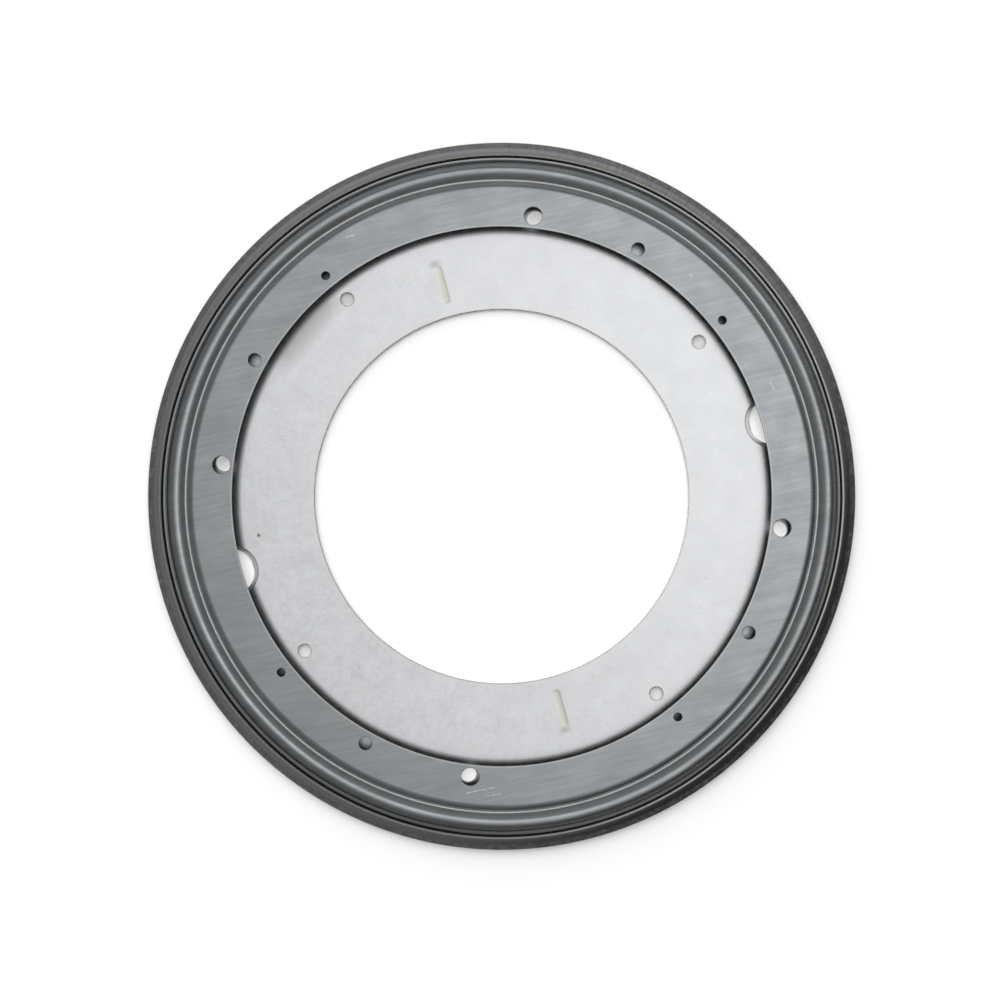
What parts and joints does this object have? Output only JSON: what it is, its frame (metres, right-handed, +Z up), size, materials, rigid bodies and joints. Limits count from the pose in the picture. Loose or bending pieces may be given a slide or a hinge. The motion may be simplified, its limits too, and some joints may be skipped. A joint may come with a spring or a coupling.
{
  "type": "lazy susan bearing",
  "caption": "Flat round turntable bearing: a pressed steel plate with a folded rim holds a pressed ring that turns freely on captive balls. Screw holes in both.",
  "frame": {"origin": "centre of the bottom plate, on its mounting face", "axes": "+Z up along the turning axis, out of the face of the top ring; +X through the centre of one access hole"},
  "size_m": [0.3048, 0.3048, 0.0079],
  "materials": {
    "galvanised_plate": "galvanised",
    "zinc_ring": "brushed zinc",
    "ball_steel": "polished"
  },
  "bodies": {
    "base": {"bottom_plate": "galvanised_plate"},
    "turntable": {"top_ring": "zinc_ring"},
    "ball_set": {"balls": "ball_steel"}
  },
  "joints": [
    {"name": "turntable_spin", "type": "hinge", "parent": "base", "child": "turntable", "pos_m": [0, 0, 0.00397], "axis": [0, 0, 1], "continuous": true},
    {"name": "ball_orbit", "type": "hinge", "parent": "base", "child": "ball_set", "pos_m": [0, 0, 0.00397], "axis": [0, 0, 1], "continuous": true}
  ],
  "couplings": [
    {"joint": "ball_orbit", "follows": "turntable_spin", "ratio": 0.5}
  ]
}
